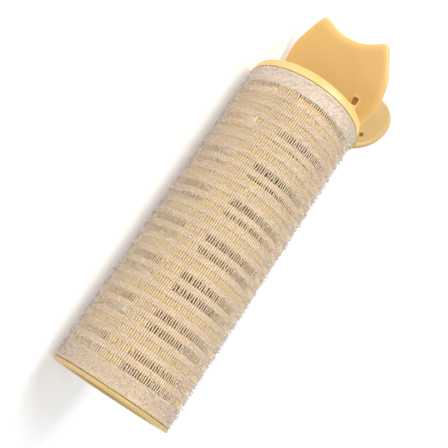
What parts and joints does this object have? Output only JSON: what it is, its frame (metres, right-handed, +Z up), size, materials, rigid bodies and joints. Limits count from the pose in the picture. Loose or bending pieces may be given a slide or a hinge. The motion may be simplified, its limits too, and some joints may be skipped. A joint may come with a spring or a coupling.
{
  "type": "hair roller",
  "caption": "Self-grip hair roller: perforated barrel in a hook-net sleeve with end collars and a sprung clip that has an ear-shaped fixed plate and a hinged outer jaw with a round tab.",
  "frame": {"origin": "on the table under the middle of the bounding box, with the roller lying on its side as it rests: on the net sleeve and on the edge of the round tab", "axes": "+Z up, along the hinge pin; the roller's own axis runs along X with the clip end towards -X; +Y points from the roller's axis to the clip"},
  "size_m": [0.132, 0.0588, 0.036],
  "materials": {
    "yellow_plastic": "satin injection-moulded polypropylene, warm pastel yellow",
    "barrel_plastic": "satin injection-moulded polypropylene, warm yellow",
    "hook_net": "translucent nylon ladder net with a pile of fine hooks, pinkish beige",
    "steel": "bright drawn spring wire and pin"
  },
  "bodies": {
    "roller": {"barrel": "barrel_plastic", "open_end_collar": "yellow_plastic", "clip_end_collar": "yellow_plastic", "hook_sleeve": "hook_net", "cat_ear_plate": "yellow_plastic", "hinge_pin": "steel", "torsion_spring": "steel"},
    "jaw": {"outer_jaw": "yellow_plastic"}
  },
  "joints": [
    {"name": "clip_hinge", "type": "hinge", "parent": "roller", "child": "jaw", "pos_m": [-0.03991, 0.0087, 0.018], "axis": [0, 0, 1], "range_deg": [0, 40], "stiffness_Nm_per_rad": 0.11, "springref_deg": -25.78, "deforming": ["torsion_spring"]}
  ]
}
